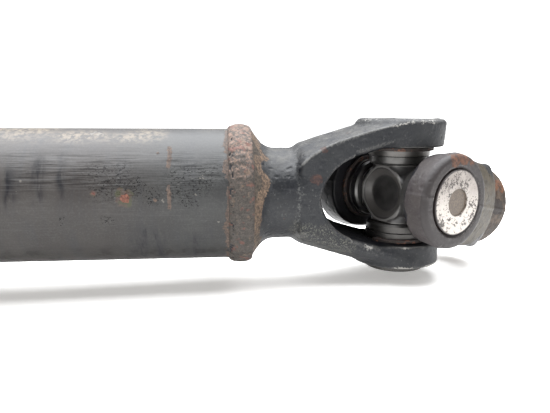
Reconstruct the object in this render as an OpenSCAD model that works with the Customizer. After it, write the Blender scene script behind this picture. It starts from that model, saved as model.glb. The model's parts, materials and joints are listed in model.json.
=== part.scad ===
// Universal joint shaft: flange yoke, cross, splined slip yoke and stub, welded tube, tube yoke,
// cross and end yoke. Each cross turns in four needle bearing cups, held by inner C-clips.
//
// Origin: centre of the flange's mounting face. +X runs along the shaft to the end yoke, and +Z
// is the pin axis of the two yokes that belong to the tube. Millimetres and degrees.
//
// Every yoke is drawn in its own frame: joint centre at the origin, pin axis along Z, body
// towards -X. "Reach" means distance from the joint centre towards the yoke's body.

/* [Shaft] */
// Outside diameter of the tube
tube_d = 63.5; // [63:0.25:64]
// Wall thickness of the tube
tube_wall = 2.4; // [2.2:0.1:2.6]
// Length of the tube
tube_length = 155; // [120:5:900]
// Height of a weld bead above the tube
bead_height = 2.65; // [1.5:0.05:3]
// Width of a weld bead along the shaft
bead_width = 11.3; // [9:0.1:12]

/* [Yokes] */
// Radius of a yoke's round ear
ear_r = 22.25; // [21.5:0.05:22.5]
// Distance from the joint centre to an ear's outer face
ear_face = 37; // [36.5:0.1:37.2]
// Distance from the joint centre to an ear's machined inner face
ear_inner = 23.4; // [23.35:0.01:23.5]
// Distance from the joint centre to the bottom of a yoke's throat
throat = 44; // [43.8:0.1:45]
// Radius of a yoke's neck
neck_r = 22.5; // [22:0.1:23]
// Distance from the joint centre to the end of the end yoke's hub
hub_end = 62.1; // [60:0.1:70]

/* [Flange] */
// Diameter of the mounting flange
flange_d = 104; // [104:1:112]
// Thickness of the mounting flange
flange_thickness = 9; // [8:0.5:10]
// Distance from the flange's face to the rear joint centre
flange_reach = 62; // [62:1:70]
// Side of the square that the flange bolts stand on
bolt_square = 60; // [59:0.5:61]
// Diameter of a flange bolt hole
bolt_hole_d = 10.1; // [9:0.1:10.5]
// Diameter of the locating recess in the flange's face
pilot_d = 60.5; // [56:0.5:62]
// Depth of the locating recess
pilot_depth = 2.5; // [2:0.1:3]

/* [Bearings] */
// Radius of a bearing cup
cup_r = 15.2; // [15.1:0.05:15.3]
// Distance from the joint centre to a cup's closed end
cup_end = 37.3; // [36.8:0.1:38]
// The same for the front joint's top cup, which sits lowest in its ear
top_cup_end = 36.8; // [36.8:0.1:38]
// The same for the front joint's bottom cup, which stands proud of its ear
bottom_cup_end = 38.4; // [37:0.1:39]
// Radius of a cross trunnion
trunnion_r = 9.5; // [9.5:0.05:9.6]
// Diameter of a needle roller
needle_d = 3; // [3:0.05:3.1]
// Needle rollers in one cup
needle_count = 22; // [16:1:22]

/* [Spline] */
// Number of spline teeth
spline_teeth = 20; // [16:1:24]
// Outside radius of the slip spline
spline_r = 16; // [15.5:0.1:16.2]
// Outside radius of the end yoke's spline
hub_spline_r = 14.2; // [13.5:0.1:14.5]
// Height of a spline tooth
tooth_height = 1.6; // [1.2:0.1:1.8]

/* [Pose] */
// Swing of the front cross about the tube yoke's pin axis
cross_swing = 27; // [-30:1:30]
// Droop of the end yoke about its own pin axis
yoke_droop = 11.3; // [-30:0.1:30]

/* [Hidden] */
$fn = 96;

// Colours
paint = [0.13, 0.13, 0.14];
bare_steel = [0.42, 0.39, 0.36];
bead_brown = [0.42, 0.32, 0.26];
cup_steel = [0.32, 0.31, 0.31];
disc_silver = [0.78, 0.76, 0.72];
cross_dark = [0.2, 0.2, 0.21];
rust = [0.45, 0.26, 0.17];
rubber = [0.09, 0.09, 0.09];

// Clearances: of pressed pieces, of turning pieces, and of the slip spline
press_gap = 0.02;
run_gap = 0.02;
spline_gap = 0.12;

// Yoke forging
arm_slope = 16.7;          // of the arms' outer crests
crown_r = 40;              // of the arms' outer faces, across the shaft
ramp_reach = [20, 26];     // from the ear's face down to the arm's crest
ramp_foot = 32.8;          // height of the crest at the ramp's foot
neck_reach = 56;           // where the arms have run into the neck
throat_corner = 16;        // rounding in the throat's corners
throat_half = 19.3;        // half height of the throat where the rounding ends
throat_open = 14;          // reach at which the throat is as wide as the ears' inner faces
arm_half = 21.6;           // half width of the arms
arm_bevel = 2.2;           // of the arms' inner edges, which clears the other yoke's arms
ear_chamfer = 3;
spotface_r = 17.6;

// Weld neck and shoulder of the tube yoke and of the stub
tube_r = tube_d / 2;
bore_r = tube_r - tube_wall;
shoulder_start = 65;
shoulder_end = 75.8;
weld_reach = 81;           // from the joint centre to the middle of the front bead
weld_gap = 0.4;            // between the tube's end and the shoulder it is welded to
spigot_length = 13;

// Bearing, measured out from the joint centre
cup_mouth = 19.2;
cup_floor = 34.1;
cup_bore_r = trunnion_r + needle_d + 2 * run_gap;
clip_thickness = 1.5;
clip_groove_r = 14;
clip_r = 16.9;
trunnion_end = 33;
root_r = 12.5;
root_end = 14.8;
cross_half = 10.8;
cross_r = 14.4;
shield_r = 14.7;

// Slip spline, measured from the rear joint centre
socket_start = 58;
sleeve_end = 140;
sleeve_r = 21;
stub_start = 80;
stub_shoulder = 172;
stub_weld = 192;
nipple_reach = 76;
cap_length = 16;
cap_r = 24.6;
seal_thickness = 4.2;

// Joint centres on the X axis, and the tube's two ends
rear_x = flange_reach;
tube_start = rear_x + stub_weld + weld_gap;
tube_end = tube_start + tube_length;
front_x = tube_end + weld_gap + weld_reach;

// ---- Helpers ----

// A solid of revolution about X. Points are [radius, reach], and reach runs towards -X.
module turned(points) {
    rotate([0, -90, 0])
        rotate_extrude()
            polygon(points);
}

// A cylinder along X from one reach to another
module bar(r, from, to) {
    rotate([0, -90, 0])
        translate([0, 0, from])
            cylinder(r = r, h = to - from);
}

// A ring about Z between two heights
module ring(outer, inner, from, to) {
    difference() {
        translate([0, 0, from])
            cylinder(r = outer, h = to - from);
        translate([0, 0, from - 1])
            cylinder(r = inner, h = to - from + 2);
    }
}

// Straight-sided spline section. A positive gap makes the socket that it slides in.
module spline_section(r, gap = 0) {
    pitch = 360 / spline_teeth;
    root = r - tooth_height + gap;
    tip = r + gap;
    side = gap / r * 57.3;
    polygon([for (i = [0 : spline_teeth - 1], k = [[-0.3, root], [-0.2, tip], [0.2, tip], [0.3, root]])
        let (a = (i + k[0]) * pitch + sign(k[0]) * side)
            k[1] * [cos(a), sin(a)]]);
}

// Places on the two joints. A child is drawn in the frame of the yoke that carries it.
module in_tube_yoke() {
    translate([front_x, 0, 0])
        children();
}

module in_end_yoke() {
    translate([front_x, 0, 0])
        rotate([0, yoke_droop, cross_swing])
            rotate([90, 0, 0])
                rotate([0, 0, 180])
                    children();
}

module in_slip_yoke() {
    translate([rear_x, 0, 0])
        rotate([0, 0, 180])
            children();
}

module in_flange_yoke() {
    translate([rear_x, 0, 0])
        rotate([90, 0, 0])
            children();
}

// The far ear of the same yoke
module opposite() {
    rotate([180, 0, 0])
        children();
}

// ---- Yokes ----

// Side view of the two arms, from the ears to the neck
module arms_outline() {
    crest = ramp_foot - (neck_reach - ramp_reach[1]) * tan(arm_slope);
    difference() {
        polygon([[0, ear_face], [-ramp_reach[0], ear_face], [-ramp_reach[1], ramp_foot],
            [-neck_reach, crest], [-neck_reach, -crest], [-ramp_reach[1], -ramp_foot],
            [-ramp_reach[0], -ear_face], [0, -ear_face]]);
        throat_outline();
    }
}

// Opening between the arms: round corners at the bottom, flaring out to the ears
module throat_outline() {
    corner_x = throat_corner - throat;
    corner_y = throat_half - throat_corner;
    for (side = [-1, 1])
        translate([corner_x, side * corner_y])
            circle(r = throat_corner);
    translate([-throat, -corner_y])
        square([throat_corner, 2 * corner_y]);
    polygon([[corner_x, -throat_half], [-throat_open, -ear_inner], [1, -ear_inner],
        [1, ear_inner], [-throat_open, ear_inner], [corner_x, throat_half]]);
}

// Long cylinder that crowns the outside of one arm
module crown() {
    translate([-ramp_reach[1], 0, ramp_foot])
        rotate([0, -arm_slope, 0])
            translate([0, 0, -crown_r])
                rotate([0, 90, 0])
                    cylinder(r = crown_r, h = 150, center = true, $fn = 180);
}

// Cuts the inner edges of one arm back at 45 degrees
module arm_bevels() {
    corner_x = throat_corner - throat;
    rise = ear_inner - throat_half;
    run = -throat_open - corner_x;
    cutter = 12;
    for (side = [-1, 1])
        translate([corner_x, side * arm_half, throat_half])
            rotate([0, -atan2(rise, run), 0])
                rotate([side * 45, 0, 0])
                    translate([0, -cutter / 2, arm_bevel / sqrt(2) - cutter])
                        cube([40, cutter, cutter]);
}

module arms() {
    difference() {
        intersection() {
            rotate([90, 0, 0])
                linear_extrude(2 * arm_half, center = true)
                    arms_outline();
            crown();
            opposite() crown();
        }
        arm_bevels();
        opposite() arm_bevels();
    }
}

module ear() {
    translate([0, 0, ear_inner])
        cylinder(r = ear_r, h = ear_face - ear_chamfer - ear_inner);
    translate([0, 0, ear_face - ear_chamfer])
        cylinder(r1 = ear_r, r2 = ear_r - ear_chamfer, h = ear_chamfer);
}

// Both ears and arms. Children are the neck or hub, which is added before the bores are cut.
module yoke() {
    difference() {
        union() {
            arms();
            ear();
            opposite() ear();
            children();
        }
        cylinder(r = spotface_r, h = 2 * ear_inner, center = true);
        cylinder(r = cup_r + press_gap, h = 3 * ear_face, center = true);
        for (side = [0, 180])
            rotate([side, 0, 0])
                translate([0, 0, ear_face - 1.3])
                    cylinder(r1 = cup_r, r2 = cup_r + 2, h = 2);
    }
}

// Neck that flares out to the tube, with a hollow behind the web and a spigot in the tube
function flare(from_r, to_r, from, to) = [for (t = [0 : 0.125 : 1])
    [from_r + (to_r - from_r) * t * t, from + (to - from) * t]];

module weld_neck() {
    spigot_r = bore_r - press_gap;
    turned(concat(
        [[0, throat], [neck_r, throat]],
        flare(neck_r, tube_r, shoulder_start, shoulder_end),
        [[tube_r, weld_reach], [spigot_r, weld_reach], [spigot_r, weld_reach + spigot_length],
         [24, weld_reach + spigot_length], [24, 79], [14, 66], [10, 58], [0, 58]]));
}

module tube_yoke() {
    color(paint)
        in_tube_yoke()
            yoke() weld_neck();
}

module end_yoke() {
    hub_r = 23.1;
    plain_land = 6;
    color(bare_steel)
        in_end_yoke()
            difference() {
                yoke()
                    turned([[0, throat], [hub_r, throat], [24, 47], [hub_r, 50],
                        [hub_r, hub_end - 1], [hub_r - 1, hub_end], [0, hub_end]]);
                bar(hub_spline_r + 0.3, hub_end - plain_land, hub_end + 1);
                rotate([0, -90, 0])
                    translate([0, 0, throat - 2])
                        linear_extrude(hub_end - throat + 3)
                            spline_section(hub_spline_r);
            }
}

module slip_yoke() {
    color(paint)
        in_slip_yoke()
            difference() {
                yoke()
                    turned([[0, throat], [neck_r, throat], [neck_r, 58], [sleeve_r, 63],
                        [sleeve_r, sleeve_end], [0, sleeve_end]]);
                rotate([0, -90, 0])
                    translate([0, 0, socket_start])
                        linear_extrude(sleeve_end - socket_start + 1)
                            spline_section(spline_r, spline_gap);
                translate([-nipple_reach, 0, 0])
                    rotate([45, 0, 0])
                        cylinder(r = 3 + press_gap, h = 30);
            }
}

module flange_yoke() {
    flange_front = flange_reach - flange_thickness;
    boss_r = 24.5;
    rim = 1;
    color(paint)
        in_flange_yoke()
            difference() {
                yoke()
                    turned([[0, throat], [boss_r, throat + 2], [boss_r, flange_front],
                        [flange_d / 2 - rim, flange_front], [flange_d / 2, flange_front + rim],
                        [flange_d / 2, flange_reach - rim], [flange_d / 2 - rim, flange_reach],
                        [0, flange_reach]]);
                bar(pilot_d / 2, flange_reach - pilot_depth, flange_reach + 1);
                for (y = [-1, 1], z = [-1, 1])
                    translate([0, y * bolt_square / 2, z * bolt_square / 2])
                        bar(bolt_hole_d / 2, flange_front - 1, flange_reach + 1);
            }
}

// ---- Tube, welds and splined stub ----

module tube() {
    color(paint)
        translate([tube_start, 0, 0])
            rotate([0, 90, 0])
                ring(tube_r, bore_r, 0, tube_length);
}

// Rounded bead around the tube and the shoulder it joins
module weld_bead(x) {
    half = bead_width / 2;
    r = (half * half + bead_height * bead_height) / (2 * bead_height);
    color(bead_brown)
        translate([x, 0, 0])
            rotate([0, 90, 0])
                rotate_extrude()
                    intersection() {
                        translate([tube_r + bead_height - r, 0])
                            circle(r = r);
                        translate([tube_r + press_gap, -half])
                            square([2 * bead_height, bead_width]);
                    }
}

module front_weld() {
    weld_bead(tube_end + weld_gap / 2);
}

module rear_weld() {
    weld_bead(tube_start - weld_gap / 2);
}

module balance_weight() {
    length = 22;
    width = 18;
    thickness = 2.5;
    color(paint)
        translate([tube_start + 12, 0, 0])
            rotate([-130, 0, 0])
                intersection() {
                    rotate([0, 90, 0])
                        ring(tube_r + press_gap + thickness, tube_r + press_gap, 0, length);
                    translate([0, -width / 2, 0])
                        cube([length, width, tube_r + 2 * thickness]);
                }
}

module spline_stub() {
    spigot_r = bore_r - press_gap;
    relief_r = spline_r - tooth_height - 0.4;
    color(bare_steel)
        translate([rear_x, 0, 0])
            mirror([1, 0, 0])
                union() {
                    rotate([0, -90, 0])
                        translate([0, 0, stub_start])
                            linear_extrude(stub_shoulder - 6 - stub_start)
                                spline_section(spline_r);
                    turned(concat(
                        [[0, stub_start + 1], [relief_r, stub_start + 1], [relief_r, stub_shoulder]],
                        flare(19, tube_r, stub_shoulder, stub_weld - 5.2),
                        [[tube_r, stub_weld], [spigot_r, stub_weld],
                         [spigot_r, stub_weld + spigot_length], [22, stub_weld + spigot_length],
                         [22, stub_weld], [0, stub_weld - 6]]));
                }
}

module dust_cap() {
    cap_start = sleeve_end + seal_thickness + 1.8 - cap_length;
    inner_end = sleeve_end + seal_thickness + 0.4;
    color(bare_steel)
        in_slip_yoke()
            difference() {
                turned([[0, cap_start], [cap_r - 1, cap_start], [cap_r, cap_start + 1],
                    [cap_r, cap_start + cap_length - 2], [cap_r - 2, cap_start + cap_length],
                    [0, cap_start + cap_length]]);
                bar(sleeve_r + press_gap, cap_start - 1, sleeve_end + 0.1);
                bar(22.4, sleeve_end, inner_end);
                bar(spline_r + 0.5, sleeve_end, cap_start + cap_length + 1);
            }
}

module dust_cap_seal() {
    color(rubber)
        in_slip_yoke()
            difference() {
                bar(22.2, sleeve_end + 0.1, sleeve_end + 0.1 + seal_thickness);
                bar(spline_r + 0.05, sleeve_end - 1, sleeve_end + 2 * seal_thickness);
            }
}

module grease_nipple() {
    color(disc_silver)
        in_slip_yoke()
            translate([-nipple_reach, 0, 0])
                rotate([45, 0, 0]) {
                    translate([0, 0, 17])
                        cylinder(r = 3, h = 5);
                    translate([0, 0, sleeve_r + 0.1])
                        cylinder(r = 4.6, h = 3.4, $fn = 6);
                    translate([0, 0, sleeve_r + 3])
                        cylinder(r1 = 3.6, r2 = 2.2, h = 2.6);
                    translate([0, 0, sleeve_r + 7])
                        sphere(r = 3.1);
                }
}

// ---- Cross and bearings. Pieces of a bearing are drawn on the +Z trunnion. ----

module trunnion() {
    chamfer = 0.6;
    cylinder(r = root_r, h = root_end);
    cylinder(r = trunnion_r, h = trunnion_end - chamfer);
    translate([0, 0, trunnion_end - chamfer])
        cylinder(r1 = trunnion_r, r2 = trunnion_r - chamfer, h = chamfer);
}

// Four trunnions on a round body, dished on both faces
module cross() {
    dish_r = 12.8;
    dish_depth = 2.8;
    color(cross_dark)
        difference() {
            union() {
                for (turn = [0 : 90 : 270])
                    rotate([turn, 0, 0])
                        trunnion();
                rotate([0, 90, 0])
                    cylinder(r = cross_r, h = 2 * cross_half - 2, center = true);
                for (side = [0, 180])
                    rotate([0, 90, side])
                        translate([0, 0, cross_half - 1])
                            cylinder(r1 = cross_r, r2 = cross_r - 1, h = 1);
            }
            for (side = [0, 180])
                rotate([0, 90, side])
                    translate([0, 0, cross_half - dish_depth]) {
                        cylinder(r1 = 9.5, r2 = dish_r, h = dish_depth);
                        translate([0, 0, dish_depth])
                            cylinder(r = 2 * cross_r, h = 10);
                    }
        }
}

module front_cross() {
    translate([front_x, 0, 0])
        rotate([0, 0, cross_swing])
            cross();
}

module rear_cross() {
    translate([rear_x, 0, 0])
        cross();
}

module bearing_cup(end = cup_end) {
    edge = 0.3;
    dimple_r = 6.4;
    color(cup_steel)
        difference() {
            union() {
                translate([0, 0, cup_mouth])
                    cylinder(r = cup_r, h = end - edge - cup_mouth);
                translate([0, 0, end - edge])
                    cylinder(r1 = cup_r, r2 = cup_r - edge, h = edge);
            }
            translate([0, 0, cup_mouth - 1])
                cylinder(r = cup_bore_r, h = cup_floor - cup_mouth + 1);
            ring(2 * cup_r, clip_groove_r, ear_inner - clip_thickness - 0.1, ear_inner);
            translate([0, 0, end - 0.6])
                cylinder(r = dimple_r, h = 1);
        }
}

// Open ring in the cup's groove, against the ear's inner face
module clip() {
    from = ear_inner - clip_thickness - 0.05;
    opening = 17;
    color(rust)
        difference() {
            ring(clip_r, clip_groove_r + press_gap, from, from + clip_thickness);
            translate([-clip_r - opening / 2, -opening / 2, from - 1])
                cube([clip_r, opening, clip_thickness + 2]);
        }
}

// Rubber ring in the cup's mouth, with its lip towards the joint centre
module lip_seal() {
    lip_r = trunnion_r + 0.05;
    outer_r = cup_bore_r - run_gap;
    color(rubber)
        rotate_extrude()
            polygon([[lip_r, 17.4], [lip_r + 0.8, 16.4], [outer_r, 16.4], [outer_r, 20.6],
                [trunnion_r + 0.6, 20.6], [trunnion_r + 0.6, 18.2], [lip_r, 17.8]]);
}

// Pressed steel cap on the trunnion's root, over the cup's mouth
module shield() {
    bore = trunnion_r + press_gap;
    plate = root_end + press_gap;
    rim_end = cup_mouth - 0.3;
    color(cup_steel)
        rotate_extrude()
            polygon([[bore, plate], [shield_r - 1, plate], [shield_r, plate + 1],
                [shield_r, rim_end], [shield_r - 0.9, rim_end], [shield_r - 0.9, plate + 1.1],
                [bore, plate + 1.1]]);
}

module needles() {
    pitch_r = trunnion_r + run_gap + needle_d / 2;
    color(cup_steel)
        for (i = [0 : needle_count - 1])
            rotate([0, 0, i * 360 / needle_count])
                translate([pitch_r, 0, 20.9])
                    cylinder(r = needle_d / 2 - 0.005, h = 11.9, $fn = 24);
}

module thrust_washer() {
    color(rubber)
        translate([0, 0, trunnion_end + 0.05])
            cylinder(r = cup_bore_r - 0.1, h = 1);
}

// Both ears of one yoke
module pair() {
    children();
    opposite() children();
}

tube();
balance_weight();
front_weld();
rear_weld();
tube_yoke();
spline_stub();
end_yoke();
slip_yoke();
dust_cap();
dust_cap_seal();
grease_nipple();
flange_yoke();

front_cross();
in_tube_yoke() bearing_cup(top_cup_end);  // front_cup_top
in_tube_yoke() opposite() bearing_cup(bottom_cup_end);  // front_cup_bottom
in_end_yoke() bearing_cup();  // front_cup_right
in_end_yoke() opposite() bearing_cup();  // front_cup_left
in_tube_yoke() clip();  // front_clip_top
in_tube_yoke() opposite() clip();  // front_clip_bottom
in_end_yoke() clip();  // front_clip_right
in_end_yoke() opposite() clip();  // front_clip_left
in_tube_yoke() lip_seal();  // front_seal_top
in_tube_yoke() opposite() lip_seal();  // front_seal_bottom
in_end_yoke() lip_seal();  // front_seal_right
in_end_yoke() opposite() lip_seal();  // front_seal_left
in_tube_yoke() shield();  // front_shield_top
in_tube_yoke() opposite() shield();  // front_shield_bottom
in_end_yoke() shield();  // front_shield_right
in_end_yoke() opposite() shield();  // front_shield_left
in_tube_yoke() pair() needles();  // front_needles_tube_yoke
in_end_yoke() pair() needles();  // front_needles_end_yoke
in_tube_yoke() pair() thrust_washer();  // front_washers_tube_yoke
in_end_yoke() pair() thrust_washer();  // front_washers_end_yoke

rear_cross();
in_slip_yoke() bearing_cup();  // rear_cup_top
in_slip_yoke() opposite() bearing_cup();  // rear_cup_bottom
in_flange_yoke() bearing_cup();  // rear_cup_right
in_flange_yoke() opposite() bearing_cup();  // rear_cup_left
in_slip_yoke() clip();  // rear_clip_top
in_slip_yoke() opposite() clip();  // rear_clip_bottom
in_flange_yoke() clip();  // rear_clip_right
in_flange_yoke() opposite() clip();  // rear_clip_left
in_slip_yoke() lip_seal();  // rear_seal_top
in_slip_yoke() opposite() lip_seal();  // rear_seal_bottom
in_flange_yoke() lip_seal();  // rear_seal_right
in_flange_yoke() opposite() lip_seal();  // rear_seal_left
in_slip_yoke() shield();  // rear_shield_top
in_slip_yoke() opposite() shield();  // rear_shield_bottom
in_flange_yoke() shield();  // rear_shield_right
in_flange_yoke() opposite() shield();  // rear_shield_left
in_slip_yoke() pair() needles();  // rear_needles_slip_yoke
in_flange_yoke() pair() needles();  // rear_needles_flange_yoke
in_slip_yoke() pair() thrust_washer();  // rear_washers_slip_yoke
in_flange_yoke() pair() thrust_washer();  // rear_washers_flange_yoke
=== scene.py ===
"""Looks of the universal joint shaft: forged yokes, rough welds, worn paint, rust and dust.

Forged pieces are distance fields, worked out in millimetres in a yoke's own frame (joint centre
at the origin, pin axis along Z, body towards -X), meshed with OpenVDB and given a rough skin.
"Reach" is the distance from the joint centre towards the yoke's body, as in the CAD source.
"""
import json
import math
from collections import namedtuple

import bpy
import numpy as np
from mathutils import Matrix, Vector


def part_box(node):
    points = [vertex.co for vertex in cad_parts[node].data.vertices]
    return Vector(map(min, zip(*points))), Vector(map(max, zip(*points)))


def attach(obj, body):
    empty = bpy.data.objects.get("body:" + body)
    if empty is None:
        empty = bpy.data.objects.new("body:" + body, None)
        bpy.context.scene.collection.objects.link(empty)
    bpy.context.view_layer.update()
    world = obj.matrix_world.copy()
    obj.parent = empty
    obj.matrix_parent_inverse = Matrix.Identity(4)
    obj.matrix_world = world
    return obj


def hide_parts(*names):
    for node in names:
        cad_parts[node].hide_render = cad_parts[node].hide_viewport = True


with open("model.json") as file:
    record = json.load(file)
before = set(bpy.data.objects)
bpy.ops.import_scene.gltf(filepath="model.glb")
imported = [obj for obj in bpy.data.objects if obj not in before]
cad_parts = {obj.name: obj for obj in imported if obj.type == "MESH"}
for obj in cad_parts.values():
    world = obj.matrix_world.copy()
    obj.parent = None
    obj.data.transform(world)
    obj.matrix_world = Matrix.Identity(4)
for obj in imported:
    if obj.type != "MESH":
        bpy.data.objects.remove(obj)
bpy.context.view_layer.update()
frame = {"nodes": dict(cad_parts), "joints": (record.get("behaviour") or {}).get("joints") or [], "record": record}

import openvdb
from mathutils import Matrix, Vector

MM = 0.001

# ---- Places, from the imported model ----

JOINTS = {joint["name"]: joint for joint in frame["joints"]}
MOUNTS = {mount["name"]: mount for mount in frame["record"]["mounts"]}
FRONT = Vector(JOINTS["front_cross_swing"]["pos_m"])
REAR = Vector(JOINTS["rear_cross_swing"]["pos_m"])
TILT_AXIS = Vector(JOINTS["end_yoke_tilt"]["axis"]).normalized()
HUB_AXIS = Vector(MOUNTS["end_yoke_bore"]["axis"]).normalized()
X, Y, Z = Vector((1, 0, 0)), Vector((0, 1, 0)), Vector((0, 0, 1))


def size_mm(node):
    low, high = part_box(node)
    return (high - low) / MM


TUBE_R = size_mm("tube").z / 2
BEAD_R = size_mm("front_weld").z / 2
BEAD_WIDTH = size_mm("front_weld").x

# ---- Sizes of the yokes, mm ----

# As in the CAD source

EAR_R = 22.25
EAR_FACE = 37.0
EAR_INNER = 23.4
EAR_DRAFT = 0.065          # how fast an ear narrows inwards
SPOTFACE_R = 17.6
CUP_BORE_R = 15.25
BORE_CHAMFER = 1.4
ARM_HALF = 21.6            # half width of the arms' flat sides
ARM_BEVEL = 2.2            # of the arms' inner edges
ARM_SLOPE = math.radians(16.7)
ARM_END = 54.5             # reach at which the flat sides run out
RAMP_REACH = 26.0
RAMP_FOOT = 32.8
CROWN_R = 38.0
THROAT = 44.0
THROAT_CORNER = 16.0
THROAT_HALF = 19.3
THROAT_TAPER = math.atan2(23.4 - 19.3, 28.0 - 14.0)
NECK_R = 22.5
SHOULDER_START = 65.0
SHOULDER_END = 75.8
WELD_REACH = 81.0
SPIGOT_R = TUBE_R - 2.42
SPIGOT_START = WELD_REACH - 3
SPIGOT_END = WELD_REACH + 13
HUB_END = 62.1
HUB_R = 23.1
SLEEVE_R = 21.0
SLEEVE_END = 140.0
SLEEVE_BORE_R = 16.2
SLEEVE_BORE_START = 58
FLANGE_R = size_mm("flange_yoke").z / 2
FLANGE_REACH = 62.0
FLANGE_THICKNESS = 9.0
FLANGE_BOSS_R = 24.5
PILOT_R = 30.25
PILOT_DEPTH = 2.5
BOLT_OFFSET = 30.0
BOLT_HOLE_R = 5.05
BOLT_HOLE_START = 45
SPLINE_R = 14.2
SPLINE_TEETH = 20
TOOTH = 1.6
LAND_CLEARANCE = 0.3
LAND_DEPTH = 6

# Details of the forgings that the CAD source leaves out
NECK_SWELL = 1.3           # how much wider the arms' flat sides are at the neck
SWELL_START = 38
SWELL_END = 46
ROOF_DROP = 2.7            # how far a roofed arm falls from its middle to its flat sides
NECK_DROP = 7.6            # more of the same where the roof meets the neck
ROOF_END = 55.7            # reach of that place
ROOF_FADE = 6.5            # how far from it the neck's share is still felt
HUB_SWELL = 0.8
FLASH_HEIGHT = 0.3         # of the ridge left where the two halves of the die met
FLASH_WIDTH = 0.8


# ---- Distance fields: negative inside ----

def smooth_union(a, b, k):
    """Blends two shapes over about k millimetres."""
    h = np.clip(0.5 + 0.5 * (b - a) / k, 0, 1)
    return b + (a - b) * h - k * h * (1 - h)


def radial(a, b):
    """Distance from the line where both are zero."""
    return np.sqrt(a * a + b * b)


def round_both(a, b, r):
    """What is inside both, with the edge between them rounded to radius r."""
    return np.minimum(np.maximum(a, b), -r) + radial(np.maximum(a + r, 0), np.maximum(b + r, 0))


def smooth_step(a, b, t):
    u = np.clip((t - a) / (b - a), 0, 1)
    return u * u * (3 - 2 * u)


# How a yoke's two ears differ. Each value may vary with z.
# edge: rounding of the outer edge. grown: added to the radius.
# dome: how fast the outer face falls from the cup to the edge.
# roof: 1 where the arm's back is flatter, with crisp edges.
Ears = namedtuple("Ears", "edge grown dome roof", defaults=(3.0, 0.0, 0.0, 0.0))


def ear(x, y, z, ears):
    high = np.abs(z)
    rho = radial(x, y)
    radius = EAR_R + ears.grown - EAR_DRAFT * (EAR_FACE - high)
    face = EAR_FACE - ears.dome * np.maximum(rho - CUP_BORE_R, 0)
    puck = round_both(rho - radius, high - face, ears.edge)
    return round_both(puck, EAR_INNER - high, 0.8)


def arms(x, y, z, ears, end):
    """Solid block with sloping crowned faces, from the pin axis to the neck."""
    high = np.abs(z)
    drop = CROWN_R - np.sqrt(np.maximum(CROWN_R ** 2 - y * y, 1))
    roof = ROOF_DROP + NECK_DROP * np.exp((-ROOF_END - x) / ROOF_FADE)
    roof = roof * (y / (ARM_HALF + NECK_SWELL)) ** 2
    drop = drop + ears.roof * (roof - drop)
    rise = RAMP_FOOT + (x + RAMP_REACH) * math.tan(ARM_SLOPE)
    crest = (high + drop - rise) * math.cos(ARM_SLOPE)
    crest = round_both(crest, high - EAR_FACE + 0.8, 4)
    swell = NECK_SWELL * smooth_step(-SWELL_START, -SWELL_END, x)
    sides = np.abs(y) - ARM_HALF - ears.grown - swell
    block = round_both(crest, sides, 2.2 - 1.2 * ears.roof)
    block = round_both(block, -end - x, 3.5)
    block = round_both(block, x - 3, 2)
    bevel = (above_taper(x, high) - sides - ARM_BEVEL) * math.sqrt(0.5)
    return round_both(block, -np.maximum(bevel, THROAT_CORNER - THROAT - x), 0.8)


def above_taper(x, high):
    """Height above the sloping inner face of an arm."""
    rise = (x + THROAT - THROAT_CORNER) * math.tan(THROAT_TAPER)
    return (high - THROAT_HALF - rise) * math.cos(THROAT_TAPER)


def throat(x, z):
    high = np.abs(z)
    corner = round_both(-THROAT - x, above_taper(x, high), THROAT_CORNER)
    return np.maximum(corner, high - EAR_INNER)


def neck(x, y, z, radius, start, end):
    """Round body along X; radius may depend on x."""
    wall = radial(y, z) - radius
    return round_both(round_both(wall, x + start, 1), -end - x, 0.6)


def yoke(x, y, z, tail, blend=3.5, ears=Ears(), arm_end=ARM_END):
    """Forging with its cup bores. tail(x, y, z) is the neck, hub, sleeve or flange."""
    body = smooth_union(arms(x, y, z, ears, arm_end), tail(x, y, z), blend)
    body = smooth_union(body, ear(x, y, z, ears), 3.5)
    body = body - FLASH_HEIGHT * np.exp(-(y / FLASH_WIDTH) ** 2)
    body = round_both(body, -throat(x, z), 1.8)
    high = np.abs(z)
    rho = radial(x, y)
    spotface = np.maximum(rho - SPOTFACE_R, high - EAR_INNER)
    body = np.maximum(body, -spotface)
    bore = rho - CUP_BORE_R - np.maximum(high - EAR_FACE + BORE_CHAMFER, 0)
    return np.maximum(body, -bore)


def weld_neck(x, y, z):
    """Neck flaring out to the tube, with the spigot that goes inside the tube."""
    t = np.clip((-x - SHOULDER_START) / (SHOULDER_END - SHOULDER_START), 0, 1)
    radius = NECK_R + (TUBE_R - NECK_R) * t * t
    outside = neck(x, y, z, radius, THROAT, WELD_REACH) / (1 + 0.5 * t)
    spigot = neck(x, y, z, SPIGOT_R, SPIGOT_START, SPIGOT_END)
    return np.minimum(outside, spigot)


def splined_hole(y, z):
    """Hole along X with teeth."""
    turn = np.arctan2(z, y) * SPLINE_TEETH / (2 * math.pi)
    saw = np.abs(turn - np.floor(turn) - 0.5) * 2
    tooth = smooth_step(0.4, 0.6, saw)
    return radial(y, z) - SPLINE_R + TOOTH * tooth


def hub(x, y, z):
    swell = HUB_SWELL * smooth_step(-44.5, -43.2, x)
    return neck(x, y, z, HUB_R + swell, THROAT, HUB_END)


def sleeve(x, y, z):
    radius = SLEEVE_R + (NECK_R - SLEEVE_R) * smooth_step(-63, -58, x)
    return neck(x, y, z, radius, THROAT, SLEEVE_END)


def flange(x, y, z):
    boss = neck(x, y, z, FLANGE_BOSS_R, THROAT, FLANGE_REACH - 1)
    middle = FLANGE_REACH - FLANGE_THICKNESS / 2
    disc = round_both(radial(y, z) - FLANGE_R, np.abs(x + middle) - FLANGE_THICKNESS / 2, 1)
    return smooth_union(boss, disc, 4)


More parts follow.
